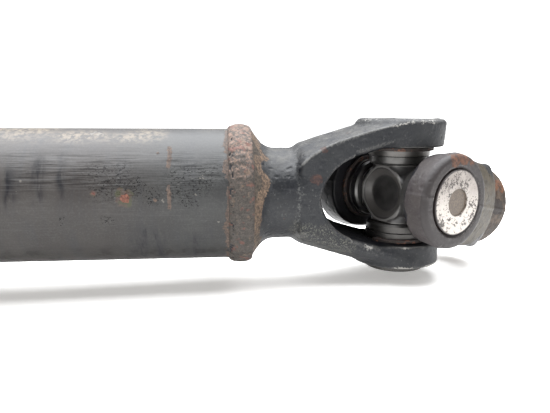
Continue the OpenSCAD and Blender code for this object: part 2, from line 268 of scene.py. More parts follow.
def tube_yoke_field(x, y, z):
    """The upper ear is flat with a rounded edge, and the lower one falls away from its cup."""
    below = smooth_step(4, -4, z)
    ears = Ears(edge=2.4 - 1.5 * below, dome=0.37 * below, roof=1 - below)
    return yoke(x, y, z, weld_neck, ears=ears)


def end_yoke_field(x, y, z):
    """The far ear is a little larger than the near one, and sharper at its edge."""
    far = smooth_step(4, 12, -z)
    body = yoke(x, y, z, hub, blend=2.5, ears=Ears(edge=3 - 2 * far, grown=far), arm_end=46.5)
    land = np.maximum(radial(y, z) - SPLINE_R - LAND_CLEARANCE, x + HUB_END - LAND_DEPTH)
    return np.maximum(body, -np.minimum(splined_hole(y, z), land))


def slip_yoke_field(x, y, z):
    body = yoke(x, y, z, sleeve)
    hole = np.maximum(radial(y, z) - SLEEVE_BORE_R, x + SLEEVE_BORE_START)
    return np.maximum(body, -hole)


def flange_yoke_field(x, y, z):
    body = yoke(x, y, z, flange, blend=4)
    pilot = np.maximum(radial(y, z) - PILOT_R, x + FLANGE_REACH - PILOT_DEPTH)
    body = np.maximum(body, -pilot)
    bolt = radial(np.abs(y) - BOLT_OFFSET, np.abs(z) - BOLT_OFFSET) - BOLT_HOLE_R
    return np.maximum(body, -np.maximum(bolt, x + BOLT_HOLE_START))


CROSS_HALF = 10.8
CROSS_R = 14.4
TRUNNION_R = 9.5
TRUNNION_END = 33.0
ROOT_R = 12.5
ROOT_END = 14.8
DISH_R = 12.9
DISH_DEPTH = 2.8


def trunnion(x, y, z):
    """Both trunnions along Z with their thicker roots."""
    high = np.abs(z)
    rho = radial(x, y)
    pin = round_both(rho - TRUNNION_R, high - TRUNNION_END, 0.5)
    root = round_both(rho - ROOT_R, high - ROOT_END, 0.4)
    return np.minimum(pin, root)


def cross_field(x, y, z):
    rho = radial(y, z)
    middle = round_both(rho - CROSS_R, np.abs(x) - CROSS_HALF, 1.2)
    lobes = np.minimum(trunnion(x, y, z), trunnion(x, z, y))
    lobes = round_both(lobes, np.abs(x) - CROSS_HALF - 0.2, 1.5)
    body = smooth_union(middle, lobes, 1.5)
    depth = CROSS_HALF - np.abs(x)
    dish = (rho - DISH_R + 1.45 * depth) * 0.568
    dish = round_both(dish, depth - DISH_DEPTH, 0.6)
    return round_both(body, -dish, 0.25)


# ---- Noise ----

def lattice(i, j, k, seed):
    """Repeatable value from -1 to 1 for each whole-number point."""
    mask = 0xFFFFFFFF
    h = (i * 374761393 + j * 668265263 + k * 1440662683 + seed * 1013904223) & mask
    h = ((h ^ (h >> 13)) * 1274126177) & mask
    h = h ^ (h >> 16)
    return (h & 0xFFFF) / 32767.5 - 1


def noise(points, size, seed):
    """Smooth noise from -1 to 1 whose bumps are about size apart. size may be one per axis."""
    q = points / np.asarray(size, float)
    cell = np.floor(q).astype(np.int64)
    f = q - cell
    w = f * f * (3 - 2 * f)
    total = np.zeros(len(points))
    for corner in range(8):
        pick = [(corner >> axis) & 1 for axis in range(3)]
        weight = np.ones(len(points))
        for axis in range(3):
            weight *= w[:, axis] if pick[axis] else 1 - w[:, axis]
        total += weight * lattice(cell[:, 0] + pick[0], cell[:, 1] + pick[1], cell[:, 2] + pick[2], seed)
    return total


def layered(points, size, seed, layers=3, gain=0.5):
    """Noise on several scales, each half the size of the one before."""
    total = np.zeros(len(points))
    strength = 1.0
    for layer in range(layers):
        total += strength * noise(points, np.asarray(size, float) / 2 ** layer, seed + layer)
        strength *= gain
    return total / sum(gain ** layer for layer in range(layers))


# ---- Meshes ----

def add_object(name, data):
    made = bpy.data.objects.new(name, data)
    bpy.context.scene.collection.objects.link(made)
    return made


def add_piece(name, points, quads, material, body, node, marks):
    """A smooth quad mesh in metres that stands for a CAD node."""
    mesh = bpy.data.meshes.new(name)
    mesh.vertices.add(len(points))
    mesh.vertices.foreach_set("co", np.asarray(points, np.float32).ravel())
    mesh.loops.add(4 * len(quads))
    mesh.loops.foreach_set("vertex_index", np.asarray(quads, np.int32).ravel())
    mesh.polygons.add(len(quads))
    mesh.polygons.foreach_set("loop_start", np.arange(0, 4 * len(quads), 4, dtype=np.int32))
    mesh.update(calc_edges=True)
    mesh.validate()
    mesh.shade_smooth()
    for key, values in marks.items():
        attribute = mesh.attributes.new(key, "FLOAT", "POINT")
        attribute.data.foreach_set("value", np.asarray(values, np.float32))
    mesh.materials.append(material)
    piece = add_object(name, mesh)
    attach(piece, body)
    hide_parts(node)


def slope(field, p, step=0.08):
    """Value and gradient of a field at points."""
    value = field(p[:, 0], p[:, 1], p[:, 2])
    gradient = np.zeros_like(p)
    for axis in range(3):
        ahead = p.copy()
        ahead[:, axis] += step
        behind = p.copy()
        behind[:, axis] -= step
        gradient[:, axis] = (field(*ahead.T) - field(*behind.T)) / (2 * step)
    return value, gradient


def sharpness(field, p, step=1.0):
    """Positive on convex edges and negative in hollows, per millimetre."""
    total = -6 * field(*p.T)
    for axis in range(3):
        for side in (-step, step):
            moved = p.copy()
            moved[:, axis] += side
            total += field(*moved.T)
    return total / step ** 2


def skin(field, low, high, voxel):
    """Points, outward normals and quads of a field's surface, in millimetres."""
    axes = [np.arange(a, b + voxel, voxel, dtype=np.float32) for a, b in zip(low, high)]
    band = 3 * voxel
    values = np.empty([len(axis) for axis in axes], np.float32)
    for first in range(0, len(axes[0]), 32):
        part = axes[0][first:first + 32, None, None]
        distance = field(part, axes[1][None, :, None], axes[2][None, None, :])
        values[first:first + 32] = np.clip(distance, -band, band)
    grid = openvdb.FloatGrid(band)
    grid.copyFromArray(values)
    points, quads = grid.convertToQuads(isovalue=0.0)
    points = points.astype(float) * voxel + np.array(low, float)
    for _ in range(3):
        value, gradient = slope(field, points)
        steep = np.maximum((gradient ** 2).sum(1), 0.25)
        move = -value[:, None] * gradient / steep[:, None]
        length = np.linalg.norm(move, axis=1, keepdims=True)
        points += move * np.minimum(1, 0.4 * voxel / np.maximum(length, 1e-9))
    gradient = slope(field, points)[1]
    normals = gradient / np.maximum(np.linalg.norm(gradient, axis=1, keepdims=True), 1e-9)
    return points, normals, quads[:, ::-1]


def forged_relief(points, seed, machined):
    """Height of a forging's rough skin: broad lumps, scale, grain and small pits."""
    lumps = 0.20 * layered(points, 11, seed, layers=3)
    scale = 0.14 * np.maximum(layered(points, 3.2, seed + 7, layers=2) - 0.15, 0)
    grain = 0.06 * layered(points, 1.2, seed + 11, layers=2)
    pits = -0.16 * smooth_step(0.5, 0.75, noise(points, 1.8, seed + 17))
    return (lumps + scale + grain + pits) * (1 - machined)


def spots(points, places, seed, ragged=0.35):
    """1 inside any of the places, which are (x, y, z, radius), with ragged edges."""
    shown = np.zeros(len(points))
    for x, y, z, radius in places:
        away = np.linalg.norm(points - np.array((x, y, z)), axis=1) / radius
        near = away < 1.6
        rough = away[near] + ragged * layered(points[near], radius * 0.7, seed, layers=3)
        shown[near] = np.maximum(shown[near], 1 - smooth_step(0.75, 1.05, rough))
    return shown


def machined_yoke(p):
    """1 on the cup bores and spot faces, 0 on the forged skin."""
    rho = np.hypot(p[:, 0], p[:, 1])
    high = np.abs(p[:, 2])
    bore = 1 - smooth_step(CUP_BORE_R + 0.6, CUP_BORE_R + 2.2, rho)
    spot = (1 - smooth_step(SPOTFACE_R - 0.3, SPOTFACE_R + 0.3, rho)) * (high < EAR_INNER + 0.5)
    return np.clip(bore + spot, 0, 1)


def yoke_frame(centre, towards_body, pin):
    """From a yoke's own frame in millimetres to the shaft's frame in metres."""
    x_axis = -towards_body
    y_axis = pin.cross(x_axis)
    columns = Matrix((x_axis, y_axis, pin)).transposed() * MM
    return Matrix.Translation(centre) @ columns.to_4x4()


def place(points, matrix):
    m = np.array(matrix)
    return points @ m[:3, :3].T + m[:3, 3]


def no_marks(points):
    return {}


def build_forging(node, field, low, high, voxel, matrix, material, seed,
                  machined=machined_yoke, rough=1.0, marks=no_marks, body=None):
    """Meshes a node's field, roughens it and stores how worn or marked each point is."""
    points, normals, quads = skin(field, low, high, voxel * (1))
    edge = np.clip(sharpness(field, points), -1, 2)
    height = rough * forged_relief(points, seed, machined(points))
    moved = place(points + normals * height[:, None], matrix)
    stored = {"edge": edge, **marks(points)}
    add_piece("forged_" + node, moved, quads, material, body or node, node, stored)


def grid_quads(rows, columns):
    """Quads of a grid of points whose rows and columns both close on themselves."""
    row, column = np.meshgrid(np.arange(rows), np.arange(columns), indexing="ij")
    next_row = (row + 1) % rows
    next_column = (column + 1) % columns
    corners = (row * columns + column, row * columns + next_column,
               next_row * columns + next_column, next_row * columns + column)
    return np.stack(corners, -1).reshape(-1, 4)


def turned(profile, steps):
    """Points of a closed (x, radius) profile turned about X, and the angle of each point.

    An angle of 0 faces the camera and a quarter turn is the top.
    """
    angle = np.arange(steps) * 2 * math.pi / steps
    x, turn = np.meshgrid(profile[:, 0], angle, indexing="ij")
    radius = np.broadcast_to(profile[:, 1:2], x.shape)
    points = np.stack((x, -radius * np.cos(turn), radius * np.sin(turn)), -1)
    outward = np.stack((np.zeros_like(x), -np.cos(turn), np.sin(turn)), -1)
    turn = (turn + math.pi) % (2 * math.pi) - math.pi
    return points.reshape(-1, 3), outward.reshape(-1, 3), turn.ravel()


def row(start, end, step):
    return np.linspace(start, end, max(2, int(abs(end - start) / step) + 1))


# ---- Tube and welds, in millimetres along the shaft ----

TUBE_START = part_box("tube")[0].x / MM
TUBE_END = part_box("tube")[1].x / MM
TUBE_BORE_R = TUBE_R - 2.4
DETAIL = 0.45

# Marks on the tube: distance back from its front end, degrees up from level, radius
RUST_SPOTS = ((49.7, 5.6, 2.0), (49.0, 7.6, 1.2), (62.6, 9.9, 0.7))
HALO_SPOTS = ((50.0, 5.6, 4.2), (47.5, 9.5, 2.0), (51.6, 12.6, 1.6), (62.6, 9.9, 1.6))
TAN_SPOTS = ((37.0, 4.6, 1.0), (36.2, 43.7, 0.7), (5.5, 32, 2.0), (5.0, 22, 2.2),
             (5.2, -8, 2.4), (5.0, -27, 2.2), (6.6, 27, 1.6), (6.0, -16, 1.8), (5.5, 52, 1.8))
PALE_SPOTS = ((64.5, 70, 2.6), (62.8, 66, 1.6), (92.0, 20, 0.8), (91.3, 17, 0.6), (93.0, 12, 0.7),
              (33.5, 4.0, 1.0), (17, 22, 1.2), (20, 8, 0.7), (10, -14, 0.7))
PIT_SPOTS = ((45.3, 16.3, 4.2), (43.5, 13.0, 4.0), (39.0, 9.0, 4.2), (37.5, 6.0, 3.6),
             (76.2, -12, 2.6), (57.2, -11, 3.2), (96.5, -60, 2.0), (18, 20, 3.0),
             (14, 16, 2.6), (21, 0, 3.0), (24, 2, 2.6))
# Marks that run round the tube: distance back, half width, from and to in degrees
DARK_STREAKS = ((85.5, 2.4, 5, 40), (76.0, 1.4, 8, 40), (97.0, 1.8, 0, 30), (44.0, 5.0, -62, -14),
                (36.0, 4.0, -66, -18), (20.0, 4.0, -60, -26))
TAN_STREAKS = ((31.2, 1.1, 29, 51), (30.8, 1.1, -3, 16))


def tube_spots(points, places, seed, ragged=0.35):
    """The same as spots(), for places given on the tube's surface."""
    turned_places = []
    for back, degrees, radius in places:
        angle = math.radians(degrees)
        y, z = -TUBE_R * math.cos(angle), TUBE_R * math.sin(angle)
        turned_places.append((TUBE_END - back, y, z, radius))
    return spots(points, turned_places, seed, ragged)


def band(value, low, high, soft):
    return smooth_step(low - soft, low + soft, value) * (1 - smooth_step(high - soft, high + soft, value))


def streaks(back, degrees, places, wobble, soft=4):
    shown = np.zeros(len(back))
    for at, width, low, high in places:
        line = np.exp(-((back - at + wobble) / width) ** 2)
        shown = np.maximum(shown, line * band(degrees, low, high, soft))
    return shown


def tube_skin(points, turn):
    """Relief height and marks of the tube's outside."""
    degrees = np.degrees(turn)
    back = TUBE_END - points[:, 0]
    patchy = 0.5 + 0.5 * layered(points, 16, 5, layers=2)
    wobble = 0.5 * noise(points, 4, 6)
    drawn = (0.2 + 0.8 * band(degrees, 14, 42, 5)) * smooth_step(0.2, 0.55, patchy)
    speckle = band(degrees, 4, 34, 6) * band(back, 2, 66, 6) * smooth_step(0.3, 0.6, patchy)
    rust = tube_spots(points, RUST_SPOTS, 41, 0.5)
    tan = np.maximum(tube_spots(points, TAN_SPOTS, 43, 0.6), streaks(back, degrees, TAN_STREAKS, wobble))
    near_end = np.minimum(back, points[:, 0] - TUBE_START)
    blotch = layered(points, (3, 5, 5), 47)
    tan = np.maximum(tan, 0.9 * smooth_step(0.1, 0.5, blotch + 0.5 - (near_end - BEAD_WIDTH / 2) / 4.5))
    broken = smooth_step(-0.1, 0.2, layered(points, 1.2, 53, layers=2))
    pale = tube_spots(points, PALE_SPOTS, 51, 0.9) * broken
    dirty_top = band(degrees, 58, 92, 8) * smooth_step(0.3, 0.6, patchy)
    dirty_top *= 0.35 + 0.65 * smooth_step(22, 50, back)
    pits = tube_spots(points, PIT_SPOTS, 61, 0.6)
    smear = streaks(back, degrees, DARK_STREAKS, 3 * wobble, 9)
    height = 0.03 * noise(points, (30, 1.4, 1.4), 31) * drawn + 0.05 * layered(points, 22, 73)
    height += 0.02 * noise(points, 1.1, 75) + 0.20 * rust * (1 + 0.6 * noise(points, 1.0, 77))
    height += 0.08 * tan * (1 + noise(points, 0.9, 79)) + 0.06 * pale
    height -= 0.14 * pits * smooth_step(0.1, 0.4, noise(points, 1.1, 62))
    halo = tube_spots(points, HALO_SPOTS, 45, 0.5)
    # The underside mark carries painted shade.
    marks = {"rust": rust, "halo": halo, "tan": tan, "pale": pale, "pit": pits, "smear": smear,
             "drawn": drawn, "speckle": speckle, "top": dirty_top, "under": band(degrees, -80, -38, 8)}
    return height, marks


def build_tube(material):
    outside = row(TUBE_START, TUBE_END, DETAIL)
    inside = row(TUBE_END, TUBE_START, 4)
    profile = np.concatenate((
        np.stack((outside, np.full_like(outside, TUBE_R)), -1),
        np.stack((inside, np.full_like(inside, TUBE_BORE_R)), -1)))
    steps = int(2 * math.pi * TUBE_R / DETAIL)
    points, outward, turn = turned(profile, steps)
    skin_points = len(outside) * steps
    height = np.zeros(len(points))
    height[:skin_points], marks = tube_skin(points[:skin_points], turn[:skin_points])
    marks = {key: np.pad(values, (0, len(points) - skin_points)) for key, values in marks.items()}
    quads = grid_quads(len(profile), steps)
    points = (points + outward * height[:, None]) * MM
    add_piece("drawn_tube", points, quads[:, ::-1], material, "shaft", "tube", marks)


def build_bead(name, node, material, seed):
    """A rough circumferential weld with ripples, lumps and holes along its edges."""
    low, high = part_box(node)
    middle = (low.x + high.x) / 2 / MM
    rise = BEAD_R - TUBE_R - 0.4
    across = row(0, math.pi, 0.03)
    arc = TUBE_R + 0.1 + (rise - 0.1) * np.sin(across)
    top = np.stack((middle - BEAD_WIDTH / 2 * np.cos(across), arc), -1)
    under = row(middle + BEAD_WIDTH / 2, middle - BEAD_WIDTH / 2, 1.5)[1:-1]
    profile = np.concatenate((top, np.stack((under, np.full_like(under, TUBE_R)), -1)))
    steps = int(2 * math.pi * BEAD_R / DETAIL)
    points, outward, turn = turned(profile, steps)
    radius = np.hypot(points[:, 1], points[:, 2])
    crown = np.clip((radius - TUBE_R) / rise, 0, 1)
    side = (points[:, 0] - middle) / (BEAD_WIDTH / 2)
    ripple = np.sin(turn * 58 + 1.5 * side ** 2 + 1.2 * noise(points, 9, seed))
    height = 0.36 * layered(points, 6.5, seed + 1, layers=3) + 0.05 * ripple
    height += 0.22 * layered(points, 1.5, seed + 5, layers=2)
    holes = smooth_step(0.2, 0.5, noise(points, 1.4, seed + 8)) * band(side, -0.95, -0.62, 0.12)
    height = (height - 0.55 * holes) * smooth_step(0.02, 0.3, crown)
    points[:, 0] += 0.5 * noise(points, 7, seed + 9) * side * crown
    height = np.maximum(height, 0.05 - (radius - TUBE_R))
    marks = {"pit": holes * smooth_step(0.02, 0.2, crown)}
    quads = grid_quads(len(profile), steps)
    points = (points + outward * height[:, None]) * MM
    add_piece(name, points, quads[:, ::-1], material, "shaft", node, marks)


# ---- Materials ----

class Look:
    """A node material, built up from short calls. Sizes are in millimetres.
    """

    def __init__(self, name):
        self.material = bpy.data.materials.new(name)
        self.material.use_nodes = True
        self.tree = self.material.node_tree
        self.tree.nodes.clear()
        self.coords = self.node("ShaderNodeTexCoord").outputs["Object"]
        self.colour = None
        self.normal = None

    def node(self, kind, inputs=None, **settings):
        """A new node. inputs holds values or sockets, by an input's name or number."""
        made = self.tree.nodes.new(kind)
        for key, value in settings.items():
            setattr(made, key, value)
        for key, value in (inputs or {}).items():
            self.put(made.inputs[key], value)
        return made

    def put(self, socket_in, value):
        if isinstance(value, bpy.types.NodeSocket):
            self.tree.links.new(value, socket_in)
        elif isinstance(value, tuple) and len(value) < len(socket_in.default_value):
            socket_in.default_value = (*value, 1)
        else:
            socket_in.default_value = value

    def attribute(self, name):
        return self.node("ShaderNodeAttribute", attribute_name=name).outputs["Fac"]

    def math(self, operation, a, b=0.0):
        return self.node("ShaderNodeMath", {0: a, 1: b}, operation=operation).outputs[0]

    def add(self, a, b):
        return self.math("ADD", a, b)

    def times(self, a, b):
        return self.math("MULTIPLY", a, b)

    def most(self, a, b):
        return self.math("MAXIMUM", a, b)

    def mix(self, fac, a, b):
        """From colour a to colour b."""
        return self.node("ShaderNodeMix", {"Factor": fac, 6: a, 7: b}, data_type="RGBA").outputs[2]

    def blend(self, fac, a, b):
        """From value a to value b."""
        return self.node("ShaderNodeMix", {0: fac, 2: a, 3: b}, data_type="FLOAT").outputs[0]

    def step(self, value, low, high):
        """0 below low, 1 above high. low may be above high, for the opposite."""
        inputs = {"Value": value, "From Min": min(low, high), "From Max": max(low, high),
                  "To Min": float(low > high), "To Max": float(low <= high)}
        return self.node("ShaderNodeMapRange", inputs, interpolation_type="SMOOTHSTEP").outputs["Result"]

    def noise(self, size, detail=3.0, rough=0.5, seed=0.0, stretch=(1, 1, 1)):
        place = self.node("ShaderNodeMapping", {"Vector": self.coords, "Scale": stretch}).outputs[0]
        inputs = {"Vector": place, "Scale": 1 / (size * MM), "Detail": detail,
                  "Roughness": rough, "W": seed}
        return self.node("ShaderNodeTexNoise", inputs, noise_dimensions="4D").outputs["Fac"]

    def patches(self, low, high, *size, **grain):
        """Noise as a mask: 0 where it is below low, 1 above high."""
        return self.step(self.noise(*size, **grain), low, high)

    def ragged(self, name, size=1.0, amount=0.5, seed=0.0):
        """A mark of the mesh, with its edge broken up by fine noise."""
        noise = self.times(self.add(self.noise(size, 4, 0.65, seed), -0.5), amount * 2)
        return self.step(self.add(self.attribute(name), noise), 0.42, 0.58)

    def within(self, name, mask):
        """A mask, only where the mesh has a mark of this name."""
        return self.times(self.attribute(name), mask)

    def worn(self, fine, edge_share, fine_share, low, high):
        """Convex edges, broken up by noise."""
        edge = self.times(self.attribute("edge"), edge_share)
        return self.step(self.add(edge, self.times(fine, fine_share)), low, high)

    def paint(self, mask, strength, tint):
        """Puts a tint over the colour so far."""
        self.colour = self.mix(self.times(mask, strength), self.colour, tint)

    def axis(self, index, source=None):
        return self.node("ShaderNodeSeparateXYZ", {0: source or self.coords}).outputs[index]

    def facing_up(self):
        return self.axis(2, self.node("ShaderNodeNewGeometry").outputs["Normal"])

    def vector(self, operation, a, b):
        return self.node("ShaderNodeVectorMath", {0: a, 1: b}, operation=operation)

    def about_axis(self, centre, axis):
        """Distance along an axis from centre, and distance from the axis, in millimetres."""
        offset = self.vector("SUBTRACT", self.coords, tuple(centre)).outputs[0]
        along = self.vector("DOT_PRODUCT", offset, tuple(axis)).outputs["Value"]
        across = self.vector("CROSS_PRODUCT", offset, tuple(axis)).outputs[0]
        length = self.node("ShaderNodeVectorMath", {0: across}, operation="LENGTH").outputs["Value"]
        return self.times(along, 1 / MM), self.times(length, 1 / MM)

    def bump(self, height, depth, strength):
        inputs = {"Height": height, "Distance": depth * MM, "Strength": strength}
        if self.normal is not None:
            inputs["Normal"] = self.normal
        self.normal = self.node("ShaderNodeBump", inputs).outputs["Normal"]

    def soft_edges(self, radius):
        self.normal = self.node("ShaderNodeBevel", {"Radius": radius * MM}, samples=4).outputs["Normal"]

    def finish(self, rough, metal=0.0, specular=0.5, glow=0.0):
        inputs = {"Base Color": self.colour, "Roughness": rough, "Metallic": metal,
                  "Specular IOR Level": specular, "Emission Color": self.colour, "Emission Strength": glow}
        if self.normal is not None:
            inputs["Normal"] = self.normal
        shader = self.node("ShaderNodeBsdfPrincipled", inputs)
        self.node("ShaderNodeOutputMaterial", {"Surface": shader.outputs[0]})
        return self.material


RUST_DARK = (0.03, 0.016, 0.012)
RUST_ORANGE = (0.17, 0.066, 0.03)
RUST_TAN = (0.21, 0.128, 0.08)
DUST = (0.17, 0.16, 0.135)
SOOT = (0.009, 0.009, 0.011)
CHARCOAL = (0.03, 0.03, 0.03)


def add_crust(look, fine):
    """Brown crumbs of rust over the paint next to the weld. Returns where they are."""
    crust = look.ragged("crust", 1.0, 0.9, 6)
    crumbs = look.patches(0.38, 0.62, 1.3, 5, 0.75, seed=4)
    inner = look.mix(crumbs, (0.022, 0.018, 0.014), (0.072, 0.056, 0.042))
    rim = look.mix(crumbs, (0.036, 0.027, 0.021), (0.15, 0.1, 0.066))
    tint = look.mix(look.ragged("rim", 1.6, 0.8, 13), inner, rim)
    tint = look.mix(look.step(fine, 0.6, 0.68), tint, (0.03, 0.022, 0.018))
    flaked = look.blend(look.patches(0.36, 0.5, 1.6, 5, 0.8, seed=24), 0.45, 0.95)
    look.paint(crust, flaked, tint)
    return crust


def painted_forging():
    """Black paint on a rough forging: scuffed on its edges, dusty on top, with chips and rust; painted shade on
    its side-facing surfaces and inside its throat.
    """
    look = Look("painted_forging")
    fine = look.noise(0.9, 4, 0.7, seed=2)
    up = look.facing_up()
    patch = look.patches(0.35, 0.68, 8, 4, 0.55)
    look.colour = look.mix(patch, (0.005, 0.006, 0.009), (0.012, 0.013, 0.015))
    look.paint(look.step(fine, 0.42, 0.64), 0.45, CHARCOAL)
    # Side-facing surfaces darkened: painted shade.
    side_shade = look.step(look.math("ABSOLUTE", up), 0.3, 0.08)
    look.paint(side_shade, 0.5, (0.003, 0.004, 0.006))
    scraped = look.within("scuff", look.step(fine, 0.44, 0.62))
    scuffed = look.most(look.worn(fine, 0.5, 1.0, 0.9, 1.1), scraped)
    look.paint(scuffed, 0.45, (0.12, 0.12, 0.115))
    crackle = look.times(look.patches(0.56, 0.62, 2.2, 6, 0.8, seed=8), look.step(fine, 0.46, 0.58))
    look.paint(crackle, 0.45, (0.1, 0.1, 0.095))
    specks = look.patches(0.8, 0.85, 0.6, 1, seed=18)
    look.paint(specks, 0.5, (0.22, 0.215, 0.205))
    dusty = look.times(look.step(up, 0.3, 1.0), look.patches(0.35, 0.8, 5, 4, 0.6, seed=5))
    look.paint(dusty, 0.28, DUST)
    powder = look.within("dust", look.patches(0.5, 0.62, 0.7, 5, 0.85, seed=15))
    look.paint(powder, 0.65, (0.17, 0.165, 0.135))
    edge = look.times(look.most(look.attribute("edge"), 0.0), 0.35)
    chipped = look.add(edge, look.noise(1.1, 5, 0.8, seed=9))
    chips = look.within("chips", look.step(chipped, 0.68, 0.74))
    look.paint(chips, 0.85, (0.27, 0.26, 0.24))
    stray = look.times(look.patches(0.67, 0.72, 6.5, 5, 0.62, seed=11), 0.5)
    rusty = look.most(stray, look.times(look.ragged("rust", 1.2, 0.8), 0.5))
    grains = look.patches(0.4, 0.62, 1.5, 4, 0.6, seed=3)
    look.paint(rusty, 1, look.mix(grains, (0.03, 0.013, 0.011), (0.08, 0.032, 0.02)))
    crust = add_crust(look, fine)
    gloss = look.add(look.attribute("gloss"), look.times(look.add(fine, -0.5), 0.5))
    gloss = look.times(look.step(gloss, 0.15, 0.9), 0.75)
    look.paint(gloss, 0.7, (0.005, 0.006, 0.008))
    # Inner walls of the throat painted near black with almost no shine: painted shade.
    inside = look.attribute("inside")
    look.paint(inside, 0.8, (0.002, 0.002, 0.003))
    look.bump(look.noise(2.2, 4, 0.65, seed=21), 0.22, 0.6)
    look.bump(fine, 0.18, 0.9)
    dull = look.most(rusty, look.most(crust, powder))
    rough = look.blend(dull, look.blend(gloss, look.blend(fine, 0.44, 0.64), 0.26), 0.8)
    return look.finish(look.blend(inside, rough, 0.95), specular=look.blend(inside, 0.34, 0.05))


def mottled_rust(look):
    """Dark brown to orange, with tan grains."""
    tint = look.mix(look.patches(0.36, 0.6, 1.8, 5, 0.6, seed=4), RUST_DARK, RUST_ORANGE)
    return look.mix(look.times(look.patches(0.5, 0.75, 0.36, 3, 0.6, seed=7), 0.5), tint, RUST_TAN)


def bare_forging():
    """Unpainted steel with an olive block and a brown hub; near black inside the fork and on its far side, and
    darker on the ears' edges, as painted shade.
    """
    look = Look("bare_forging")
    hub = look.attribute("hub")
    olive = look.attribute("olive")
    fine = look.noise(0.9, 4, 0.65, seed=4)
    mottle = look.patches(0.38, 0.66, 3.5, 5, 0.65, seed=30)
    patch = look.patches(0.35, 0.65, 10, 4)
    look.colour = look.mix(patch, (0.023, 0.0185, 0.0195), (0.035, 0.0295, 0.0285))
    look.paint(hub, 0.95, look.mix(mottle, (0.02, 0.013, 0.009), (0.066, 0.045, 0.03)))
    look.paint(olive, 1, look.mix(mottle, (0.023, 0.018, 0.01), (0.05, 0.038, 0.021)))
    look.paint(look.step(fine, 0.42, 0.64), 0.3, (0.075, 0.068, 0.064))
    # Darker on the ears' edges away from the hub and in a band round each face: painted shade; darker patches on
    # the hub: real marks.
    look.paint(look.ragged("dark", 1.6, 0.4, 3), 0.8, (0.014, 0.011, 0.011))
    look.paint(look.worn(fine, 0.5, 0.9, 0.9, 1.06), 0.5, (0.16, 0.15, 0.14))
    specks = look.patches(0.82, 0.86, 0.7, 1, seed=18)
    look.paint(specks, 0.4, (0.2, 0.19, 0.18))
    stray = look.times(look.patches(0.66, 0.72, 7, 5, 0.6, seed=1), 0.4)
    rusty = look.most(stray, look.times(look.ragged("rust", 1.2, 0.9), 0.9))
    look.paint(rusty, 0.5, mottled_rust(look))
    # Near black, with little shine, inside the fork and on its far side: painted shade.
    fork_shade_mask = look.ragged("oil", 3.0, 0.25, 12)
    look.paint(fork_shade_mask, 0.93, SOOT)
    look.bump(look.noise(2.0, 4, 0.65, seed=21), 0.18, 0.5)
    look.bump(fine, 0.12, 0.7)
    dull = look.most(look.most(olive, hub), fork_shade_mask)
    rough = look.blend(fork_shade_mask, look.blend(rusty, 0.55, 0.8), 0.42)
    return look.finish(rough, specular=look.blend(dull, 0.34, 0.2))


def weld_metal():
    """Brown, crumbling weld with pinkish scale on its up-facing part, made paler there as a painted highlight, and
    sooty pits.
    """
    look = Look("weld_metal")
    fine = look.noise(0.7, 4, 0.75, seed=6)
    look.colour = look.mix(look.step(fine, 0.34, 0.68), (0.018, 0.015, 0.012), (0.056, 0.046, 0.039))
    dark = look.patches(0.5, 0.62, 3.0, 4, 0.7, seed=29)
    look.paint(dark, 0.5, (0.012, 0.011, 0.008))
    # Up-facing part: pinkish scale, made paler there as a painted highlight.
    top = look.step(look.facing_up(), 0.15, 0.75)
    pink_lit_top = look.times(top, look.patches(0.44, 0.58, 2.0, 5, 0.8, seed=2))
    look.paint(pink_lit_top, 0.6, (0.24, 0.148, 0.108))
    specks = look.patches(0.57, 0.64, 0.9, 4, 0.85, seed=12)
    look.paint(specks, 0.55, (0.009, 0.007, 0.006))
    red = look.patches(0.56, 0.62, 5.0, 4, 0.6, seed=20)
    look.paint(red, 0.7, look.mix(fine, (0.04, 0.015, 0.011), (0.14, 0.052, 0.036)))
    tan = look.patches(0.57, 0.65, 4.0, 4, 0.65, seed=27)
    look.paint(tan, 0.5, (0.13, 0.085, 0.055))
    glint = look.patches(0.7, 0.76, 0.7, 2, 0.6, seed=44)
    look.paint(glint, 0.6, (0.26, 0.24, 0.22))
    look.paint(look.ragged("pit", 0.8, 0.3), 1, SOOT)
    look.bump(look.noise(1.6, 4, 0.7, seed=46), 0.35, 0.8)
    look.bump(fine, 0.25, 0.8)
    return look.finish(0.68, specular=0.4)


def add_tube_dirt_and_shade(look, fine, low):
    """Stains and smears on the bare tube colour, with painted shade on its down-facing side and underside. Returns
    where it is matt.
    """
    # Down-facing side darkened: painted shade.
    look.paint(low, 0.35, (0.007, 0.006, 0.005))
    stain = look.patches(0.45, 0.75, 4, 4, 0.6, seed=3, stretch=(1, 0.12, 0.12))
    look.paint(stain, 0.55, (0.011, 0.012, 0.015))
    look.paint(look.step(fine, 0.45, 0.7), 0.3, (0.055, 0.052, 0.05))
    # Darker patches on the underside: painted shade.
    underside_shade = look.within("under", look.patches(0.4, 0.62, 6, 4, 0.6, seed=33))
    look.paint(underside_shade, 0.6, (0.01, 0.009, 0.008))
    smear = look.within("smear", look.patches(0.35, 0.6, 3, 5, 0.7, seed=52, stretch=(1, 0.2, 0.2)))
    look.paint(smear, 1, (0.006, 0.006, 0.008))
    return look.most(look.times(look.most(smear, underside_shade), 0.6), look.times(low, 0.35))


def add_tube_scratches(look, line, drawn):
    """Drawing lines, their tops lightened as a painted highlight and their grooves darkened as painted shade, and
    short black and light dashes. Returns where it is black.
    """
    # Tops of the drawing lines: painted highlight.
    crest_highlight = look.times(look.step(line, 0.52, 0.62), drawn)
    look.paint(crest_highlight, 0.35, (0.085, 0.085, 0.085))
    # Grooves of the drawing lines: painted shade.
    groove_shade = look.times(look.times(look.step(line, 0.46, 0.38), drawn), 0.5)
    along = (0.6, 1, 1)
    dash = look.within("speckle", look.patches(0.535, 0.585, 0.8, 3, 0.75, seed=16, stretch=along))
    hole = look.within("pit", look.patches(0.54, 0.63, 0.6, 3, 0.6, seed=8))
    black = look.most(look.most(groove_shade, look.times(dash, 0.7)), hole)
    look.paint(black, 1, (0.003, 0.003, 0.003))
    light = look.within("speckle", look.patches(0.58, 0.66, 1.0, 3, 0.8, seed=36, stretch=along))
    look.paint(light, 0.5, (0.1, 0.1, 0.095))
    return black


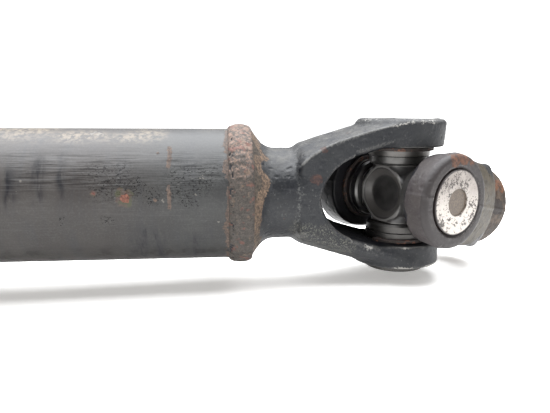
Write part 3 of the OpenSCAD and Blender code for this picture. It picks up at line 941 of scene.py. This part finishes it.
def add_tube_spots(look):
    """Dust on top, and tan, pale, white and rusty spots. Returns where it is rough."""
    top = look.within("top", look.patches(0.42, 0.6, 2.4, 5, 0.75, seed=19))
    look.paint(top, 0.55, (0.2, 0.16, 0.11))
    tan = look.ragged("tan", 0.9, 0.9, 2)
    grain = look.patches(0.4, 0.65, 1.0, 3, 0.6, seed=5)
    look.paint(tan, 0.6, look.mix(grain, (0.06, 0.042, 0.034), (0.135, 0.09, 0.066)))
    look.paint(look.ragged("pale", 0.7, 0.9, 4), 0.35, (0.2, 0.185, 0.16))
    white = look.patches(0.83, 0.87, 0.8, 1, seed=40)
    look.paint(white, 0.7, (0.3, 0.29, 0.27))
    halo = look.step(look.add(look.attribute("halo"), look.noise(2.0, 4, 0.7, seed=48)), 0.95, 1.6)
    grain = look.patches(0.4, 0.6, 3, 2, seed=50)
    look.paint(halo, 0.6, look.mix(grain, (0.036, 0.038, 0.012), (0.064, 0.036, 0.028)))
    rust = look.ragged("rust", 1.0, 0.6, 1)
    grain = look.patches(0.38, 0.6, 0.9, 4, 0.7, seed=23)
    look.paint(rust, 0.8, look.mix(grain, (0.062, 0.018, 0.013), (0.165, 0.062, 0.04)))
    return look.most(rust, tan)


def tube_paint():
    """Thin worn paint over a drawn surface, greener near the front end."""
    look = Look("tube_paint")
    patch = look.noise(15)
    fine = look.noise(0.8, 4, 0.7, seed=7)
    line = look.noise(0.62, 2, 0.6, seed=14, stretch=(0.04, 1, 1))
    drawn = look.attribute("drawn")
    mottle = look.step(patch, 0.35, 0.65)
    brown = look.mix(mottle, (0.0175, 0.014, 0.0125), (0.026, 0.022, 0.0195))
    green = look.mix(mottle, (0.0145, 0.0148, 0.0148), (0.0225, 0.0233, 0.0225))
    front = look.step(look.axis(0), (TUBE_END - 65) * MM, (TUBE_END - 20) * MM)
    look.colour = look.mix(front, brown, green)
    # Where the tube faces down, for painted shade.
    low = look.step(look.facing_up(), 0.2, -0.3)
    matt = add_tube_dirt_and_shade(look, fine, low)
    black = add_tube_scratches(look, line, drawn)
    rusty = add_tube_spots(look)
    look.bump(look.times(line, drawn), 0.05, 0.7)
    look.bump(fine, 0.05, 0.6)
    rough = look.blend(rusty, look.blend(patch, 0.45, 0.58), 0.8)
    return look.finish(rough, specular=look.blend(look.most(black, matt), 0.5, 0.05))


def steel(name, colour, rough, paint_from=None):
    """Machined or pressed steel with smudges, fine scratches and softened edges.

    It is painted black beyond paint_from, in millimetres along the shaft.
    """
    look = Look(name)
    look.soft_edges(0.25)
    smudge = look.noise(5, 4, 0.6)
    fine = look.noise(0.8, 3, 0.6, seed=3)
    look.colour = colour
    look.paint(look.step(smudge, 0.35, 0.7), 0.4, tuple(c * 0.45 for c in colour))
    look.paint(look.step(fine, 0.6, 0.8), 0.3, tuple(min(1, c * 1.5) for c in colour))
    roughness = look.blend(smudge, rough * 0.8, rough * 1.3)
    metal = 0.9
    if paint_from is not None:
        place = look.add(look.times(look.axis(0), 1 / MM), look.times(smudge, 3))
        painted = look.step(place, paint_from + 1, paint_from + 2)
        look.paint(painted, 1, look.mix(fine, SOOT, CHARCOAL))
        roughness = look.blend(painted, roughness, 0.5)
        metal = look.blend(painted, metal, 0.0)
    look.bump(fine, 0.03, 0.4)
    return look.finish(roughness, metal)


def end_cap(name, centre, axis):
    """Bearing cup whose closed end is pale, pitted metal round a brown dimple, paler towards the bottom as a
    painted reflection of the floor.
    """
    look = Look(name)
    look.soft_edges(0.2)
    along, across = look.about_axis(centre, axis)
    across = look.add(across, look.times(look.add(look.noise(1.2, 3, 0.6), -0.5), 0.7))
    dimple = look.step(across, 6.7, 6.2)
    rim = look.step(across, 14.4, 14.9)
    fine = look.noise(0.8, 4, 0.7, seed=3)
    pale = look.mix(look.patches(0.35, 0.65, 5, 4, 0.6), (0.165, 0.144, 0.13), (0.255, 0.23, 0.208))
    # Paler towards the bottom: painted reflection of the bright floor.
    lower = look.step(look.axis(2), (centre.z / MM + 12) * MM, (centre.z / MM - 8) * MM)
    look.colour = look.mix(lower, pale, (0.45, 0.414, 0.378))
    look.paint(look.step(fine, 0.45, 0.66), 0.25, (0.2, 0.172, 0.155))
    pits = look.add(look.noise(1.3, 4, 0.8, seed=6), look.times(look.noise(6, 2, seed=8), 0.35))
    look.paint(look.step(pits, 0.72, 0.745), 1, (0.03, 0.022, 0.018))
    brown = look.mix(look.step(fine, 0.35, 0.65), (0.042, 0.03, 0.021), (0.096, 0.069, 0.047))
    look.paint(dimple, 1, brown)
    look.paint(rim, 1, (0.02, 0.015, 0.014))
    side = (0.16, 0.155, 0.15)
    look.colour = look.mix(look.step(along, 30, 31), side, look.colour)
    look.bump(pits, 0.1, 0.5)
    return look.finish(0.5, look.times(look.step(along, 31, 30), 0.9))


def rusted_clip():
    look = Look("rusted_clip")
    look.soft_edges(0.3)
    fine = look.noise(0.9, 3, 0.7)
    rusty = look.patches(0.53, 0.63, 3.5, 4, 0.6, seed=9)
    look.colour = look.mix(rusty, (0.022, 0.016, 0.014), (0.14, 0.058, 0.034))
    look.paint(look.step(fine, 0.55, 0.72), 0.3, (0.16, 0.085, 0.06))
    look.bump(fine, 0.15, 0.8)
    return look.finish(0.7)


def rubber():
    look = Look("rubber")
    look.soft_edges(0.3)
    fine = look.noise(0.7, 3, 0.6)
    look.colour = look.mix(fine, (0.012, 0.012, 0.012), CHARCOAL)
    look.bump(fine, 0.05, 0.5)
    return look.finish(0.7)


def dark_forging():
    """The cross: dark steel with a paler cone round its dish, and worn edges."""
    look = Look("dark_forging")
    fine = look.noise(0.9, 4, 0.6)
    look.colour = look.mix(look.patches(0.3, 0.7, 6), (0.024, 0.023, 0.023), (0.05, 0.048, 0.047))
    look.paint(look.attribute("cone"), 1, (0.085, 0.08, 0.076))
    look.paint(look.worn(fine, 0.6, 0.4, 0.45, 0.75), 0.6, (0.26, 0.25, 0.24))
    look.bump(fine, 0.06, 0.6)
    return look.finish(look.blend(fine, 0.3, 0.46), 0.35)


# ---- Pieces ----

PAINTED = painted_forging()
BARE = bare_forging()
WELD = weld_metal()
TUBE_PAINT = tube_paint()
CUP_STEEL = steel("cup_steel", (0.108, 0.104, 0.100), 0.38)
SHIELD_STEEL = steel("shield_steel", (0.125, 0.122, 0.118), 0.36)
DARK_FORGING = dark_forging()
TURNED_STEEL = steel("turned_steel", (0.30, 0.28, 0.25), 0.35)
STUB_SHOULDER = REAR.x / MM + 172
STUB_STEEL = steel("stub_steel", (0.30, 0.28, 0.25), 0.35, paint_from=STUB_SHOULDER)
# Lit and shaded copies of the cup steel: darker for the bottom cup and shield as painted shade, brighter for the
# top cup as painted light.
SHADED_LOWER_CUP = steel("shaded_lower_cup_steel", (0.070, 0.067, 0.064), 0.45)
LIT_UPPER_CUP = steel("lit_upper_cup_steel", (0.140, 0.134, 0.128), 0.38)
PLATED = steel("plated_steel", (0.62, 0.58, 0.48), 0.3)
ROLLER = steel("roller_steel", (0.6, 0.6, 0.6), 0.2)
CLIP = rusted_clip()
RUBBER = rubber()

CAD_LOOKS = {
    "balance_weight": TURNED_STEEL,
    "spline_stub": STUB_STEEL,
    "dust_cap": TURNED_STEEL,
    "grease_nipple": PLATED,
    "front_cup_right": end_cap("front_cup_face", FRONT, TILT_AXIS),
    # Bottom cup and shield: painted shade; top cup: painted light.
    "front_cup_bottom": SHADED_LOWER_CUP,
    "front_shield_bottom": SHADED_LOWER_CUP,
    "front_cup_top": LIT_UPPER_CUP,
}


def cad_look(name):
    """Material of a CAD node that is kept."""
    if name in CAD_LOOKS:
        return CAD_LOOKS[name]
    for part, look in (("_cup_", CUP_STEEL), ("_shield_", SHIELD_STEEL), ("_clip_", CLIP),
                       ("seal", RUBBER), ("needles", ROLLER), ("washers", RUBBER)):
        if part in name:
            return look
    return DARK_FORGING


for name, node_object in frame["nodes"].items():
    node_object.data.materials.clear()
    node_object.data.materials.append(cad_look(name))

# Mesh sizes, mm: the front joint is seen from close by
FINE_VOXEL = 0.45
COARSE_VOXEL = 0.6
CROSS_VOXEL = 0.35


# Marks on the front yokes, in a yoke's own frame: x, y, z and radius
TUBE_YOKE_RUST = [(-46.6, -21.6, 9.3, 3.2), (-43.2, -21.6, 22.8, 2.0), (-2, -16, -24, 2)]
TUBE_YOKE_GLOSS = [(-58, -20, 12, 7.5), (-62, -20.5, 9, 6), (-54, -20, 11, 6)]
TUBE_YOKE_DUST = [(-50, -18, -15, 8), (-42, -20, -20, 9), (-32, -21, -24, 7), (-37, -15, -27, 6)]
TUBE_YOKE_CHIPS = [(-20, -12, 37, 6), (-6, -21, 35, 6), (6, -20, 36, 5), (-2, -21.6, -26.6, 3),
                   (-3, -20, -35, 6), (12, -17, -35, 5), (-20, -20, -23, 2.5)]
END_YOKE_RUST = [(7, -18.5, 36, 3.6), (1, -20, 36, 3.2), (-5, -19, 35.5, 2.4), (20, -1, 34, 1.8),
                 (-58, -13, 19, 4), (-51, -12, 19.6, 4), (-47, -8.6, 21.4, 3.5)]
END_YOKE_DARK = [(-54, -1, 22.5, 5), (-50, -20, 12, 3)]


def tube_yoke_marks(p):
    degrees = np.degrees(np.arctan2(p[:, 2], -p[:, 1]))
    ragged = p[:, 0] + 2.2 * layered(p, 7, 201, layers=3)
    spike = 5.5 * np.exp(-((degrees - 52) / 7) ** 2) + 5 * np.exp(-((degrees - 20) / 14) ** 2)
    crust = 1 - smooth_step(-74, -70.5, ragged - spike)
    rim = smooth_step(-78, -75.5, ragged - spike) * (0.55 + 0.45 * smooth_step(-20, 20, degrees))
    ridge = p[:, 0] + 54.6 + 1.2 * noise(p, 6, 213)
    roof_edge = 25.3 + (p[:, 0] + 39) * 0.35 - 5.5 * np.exp((-54.5 - p[:, 0]) / 4.0)
    crest = p[:, 2] - roof_edge
    crest = np.exp(-(crest / 0.6) ** 2) * band(p[:, 0], -56, -24, 2)
    scuff = np.maximum(np.exp(-(ridge / 0.9) ** 2), crest) * (p[:, 1] < -8)
    # Inner walls of the throat, which get painted shade.
    inside = 1 - smooth_step(0.3, 1.5, np.abs(throat(p[:, 0], p[:, 2])))
    inside *= 1 - smooth_step(18.5, 20.5, np.abs(p[:, 1]))
    return {"crust": crust, "rim": rim, "scuff": scuff, "inside": inside,
            "rust": spots(p, TUBE_YOKE_RUST, 205), "gloss": spots(p, TUBE_YOKE_GLOSS, 209),
            "dust": spots(p, TUBE_YOKE_DUST, 211), "chips": 0.12 + 0.88 * spots(p, TUBE_YOKE_CHIPS, 215)}


def end_yoke_marks(p):
    high = np.abs(p[:, 2])
    rho = np.hypot(p[:, 0], p[:, 1])
    inward = 1 - smooth_step(24.4, 26.5, high + 1.2 * noise(p, 5, 221))
    far_side = smooth_step(6, 12, -p[:, 2])
    # The fork's inner faces and its far side, which get painted shade.
    oil = np.maximum(inward * smooth_step(-46, -42, p[:, 0]), far_side * smooth_step(-40, -34, p[:, 0]))
    # The ears' rounded edges away from the hub, and a band just below each face, which get painted shade; the
    # listed hub patches below are real.
    edge_shade = smooth_step(34.0, 34.8, high) * smooth_step(19.2, 20.4, rho)
    face_band_shade = smooth_step(36.2, 36.8, high) * 0.55
    dark = np.maximum(edge_shade * smooth_step(-12, 4, p[:, 0]), face_band_shade)
    dark = np.maximum(dark, spots(p, END_YOKE_DARK, 229))
    olive = band(p[:, 0], -43.8, -23, 1.2)
    hub_part = 1 - smooth_step(-45, -43.5, p[:, 0])
    rust = spots(p, END_YOKE_RUST, 225, 0.6)
    return {"oil": oil, "rust": rust, "dark": dark, "olive": olive, "hub": hub_part}


build_forging("tube_yoke", tube_yoke_field, (-96, -34, -39), (24, 34, 39), FINE_VOXEL,
              yoke_frame(FRONT, -X, Z), PAINTED, seed=3, marks=tube_yoke_marks, body="shaft")
build_forging("end_yoke", end_yoke_field, (-64, -26, -39), (24, 26, 39), FINE_VOXEL,
              yoke_frame(FRONT, HUB_AXIS, TILT_AXIS), BARE, seed=21, marks=end_yoke_marks)
build_forging("slip_yoke", slip_yoke_field, (-142, -26, -39), (24, 26, 39), COARSE_VOXEL,
              yoke_frame(REAR, X, Z), PAINTED, seed=45)
build_forging("flange_yoke", flange_yoke_field, (-64, -54, -54), (24, 54, 54), COARSE_VOXEL,
              yoke_frame(REAR, -X, Y), PAINTED, seed=67)


def cross_marks(p):
    rho = np.hypot(p[:, 1], p[:, 2])
    depth = CROSS_HALF - np.abs(p[:, 0])
    return {"cone": band(depth, 0.35, 2.5, 0.2) * (rho < DISH_R)}


def machined_cross(p):
    rho_z = np.hypot(p[:, 0], p[:, 1])
    rho_y = np.hypot(p[:, 0], p[:, 2])
    along_z = (rho_z < ROOT_R) & (np.abs(p[:, 2]) > ROOT_END - 0.3)
    along_y = (rho_y < ROOT_R) & (np.abs(p[:, 1]) > ROOT_END - 0.3)
    return (along_z | along_y).astype(float)


for name, at, seed in (("front_cross", yoke_frame(FRONT, -TILT_AXIS.cross(Z), Z), 81),
                       ("rear_cross", yoke_frame(REAR, -X, Z), 97)):
    build_forging(name, cross_field, (-12, -34, -34), (12, 34, 34), CROSS_VOXEL,
                  at, DARK_FORGING, seed, machined=machined_cross, rough=0.35, marks=cross_marks)

build_tube(TUBE_PAINT)
build_bead("front_bead", "front_weld", WELD, 111)
build_bead("rear_bead", "rear_weld", WELD, 131)


# ---- Stage ----

FLOOR_LEAN = 0.024           # rise per metre forward: the shaft lies on its large rear flange
FLOOR_DROP = 0.0445          # below the front joint's centre, metres


def build_stage():
    bpy.ops.mesh.primitive_plane_add(size=2.6, location=FRONT - Z * FLOOR_DROP)
    floor = bpy.context.object
    floor.name = "floor"
    floor.rotation_euler = (0, -math.atan(FLOOR_LEAN), 0)
    look = Look("pale_floor")
    look.colour = look.mix(look.noise(60), (0.90, 0.89, 0.87), (0.93, 0.92, 0.90))
    # The floor glows faintly, though it is no lamp: painted light that lifts the shadow under the shaft and lights
    # the shaft from below.
    floor.data.materials.append(look.finish(0.7, glow=0.36))


AMBIENT = 0.5
BACKDROP = 1.3
SOFTBOX_SIZE = (2.0, 1.4)    # metres, along and across the shaft
SOFTBOX_PLACE = Vector((-0.15, 0.1, 0.9))
SOFTBOX_RADIANCE = 8.0


def build_softbox():
    """One large soft light overhead."""
    data = bpy.data.lights.new("softbox", "AREA")
    data.shape = "RECTANGLE"
    data.size, data.size_y = SOFTBOX_SIZE
    data.energy = SOFTBOX_RADIANCE * math.pi * SOFTBOX_SIZE[0] * SOFTBOX_SIZE[1]
    data.color = (0.95, 0.97, 1)
    light = add_object("softbox", data)
    light.location = FRONT + SOFTBOX_PLACE
    target = FRONT + X * SOFTBOX_PLACE.x
    light.rotation_euler = (target - light.location).to_track_quat("-Z", "Y").to_euler()


def build_world():
    """A dim room, which the camera sees as a pure white backdrop."""
    world = bpy.data.worlds.new("studio")
    bpy.context.scene.world = world
    world.use_nodes = True
    tree = world.node_tree
    room = tree.nodes["Background"]
    room.inputs["Color"].default_value = (1.0, 0.98, 0.96, 1)
    room.inputs["Strength"].default_value = AMBIENT
    backdrop = tree.nodes.new("ShaderNodeBackground")
    backdrop.inputs["Color"].default_value = (1, 1, 1, 1)
    backdrop.inputs["Strength"].default_value = BACKDROP
    seen = tree.nodes.new("ShaderNodeLightPath")
    choose = tree.nodes.new("ShaderNodeMixShader")
    tree.links.new(seen.outputs["Is Camera Ray"], choose.inputs[0])
    tree.links.new(room.outputs[0], choose.inputs[1])
    tree.links.new(backdrop.outputs[0], choose.inputs[2])
    tree.links.new(choose.outputs[0], tree.nodes["World Output"].inputs["Surface"])


CAMERA_OFFSET = Vector((-0.08941, -0.24638, 0.04017))  # from the front joint's centre, metres
CAMERA_YAW = math.radians(6.06)
CAMERA_PITCH = math.radians(10.79)
CAMERA_ROLL = math.radians(0.408)
CAMERA_LENS = 32.616


def build_camera():
    forward = Vector((math.sin(CAMERA_YAW) * math.cos(CAMERA_PITCH),
                      math.cos(CAMERA_YAW) * math.cos(CAMERA_PITCH), -math.sin(CAMERA_PITCH)))
    level = forward.cross(Z).normalized()
    upward = level.cross(forward)
    right = level * math.cos(CAMERA_ROLL) + upward * math.sin(CAMERA_ROLL)
    up = right.cross(forward)
    data = bpy.data.cameras.new("camera")
    data.lens = CAMERA_LENS
    data.clip_start = 0.01
    camera = add_object("camera", data)
    turn = Matrix((right, up, -forward)).transposed().to_4x4()
    camera.matrix_world = Matrix.Translation(FRONT + CAMERA_OFFSET) @ turn
    bpy.context.scene.camera = camera


build_stage()
build_world()
build_softbox()
build_camera()
bpy.context.scene.view_settings.view_transform = "Standard"
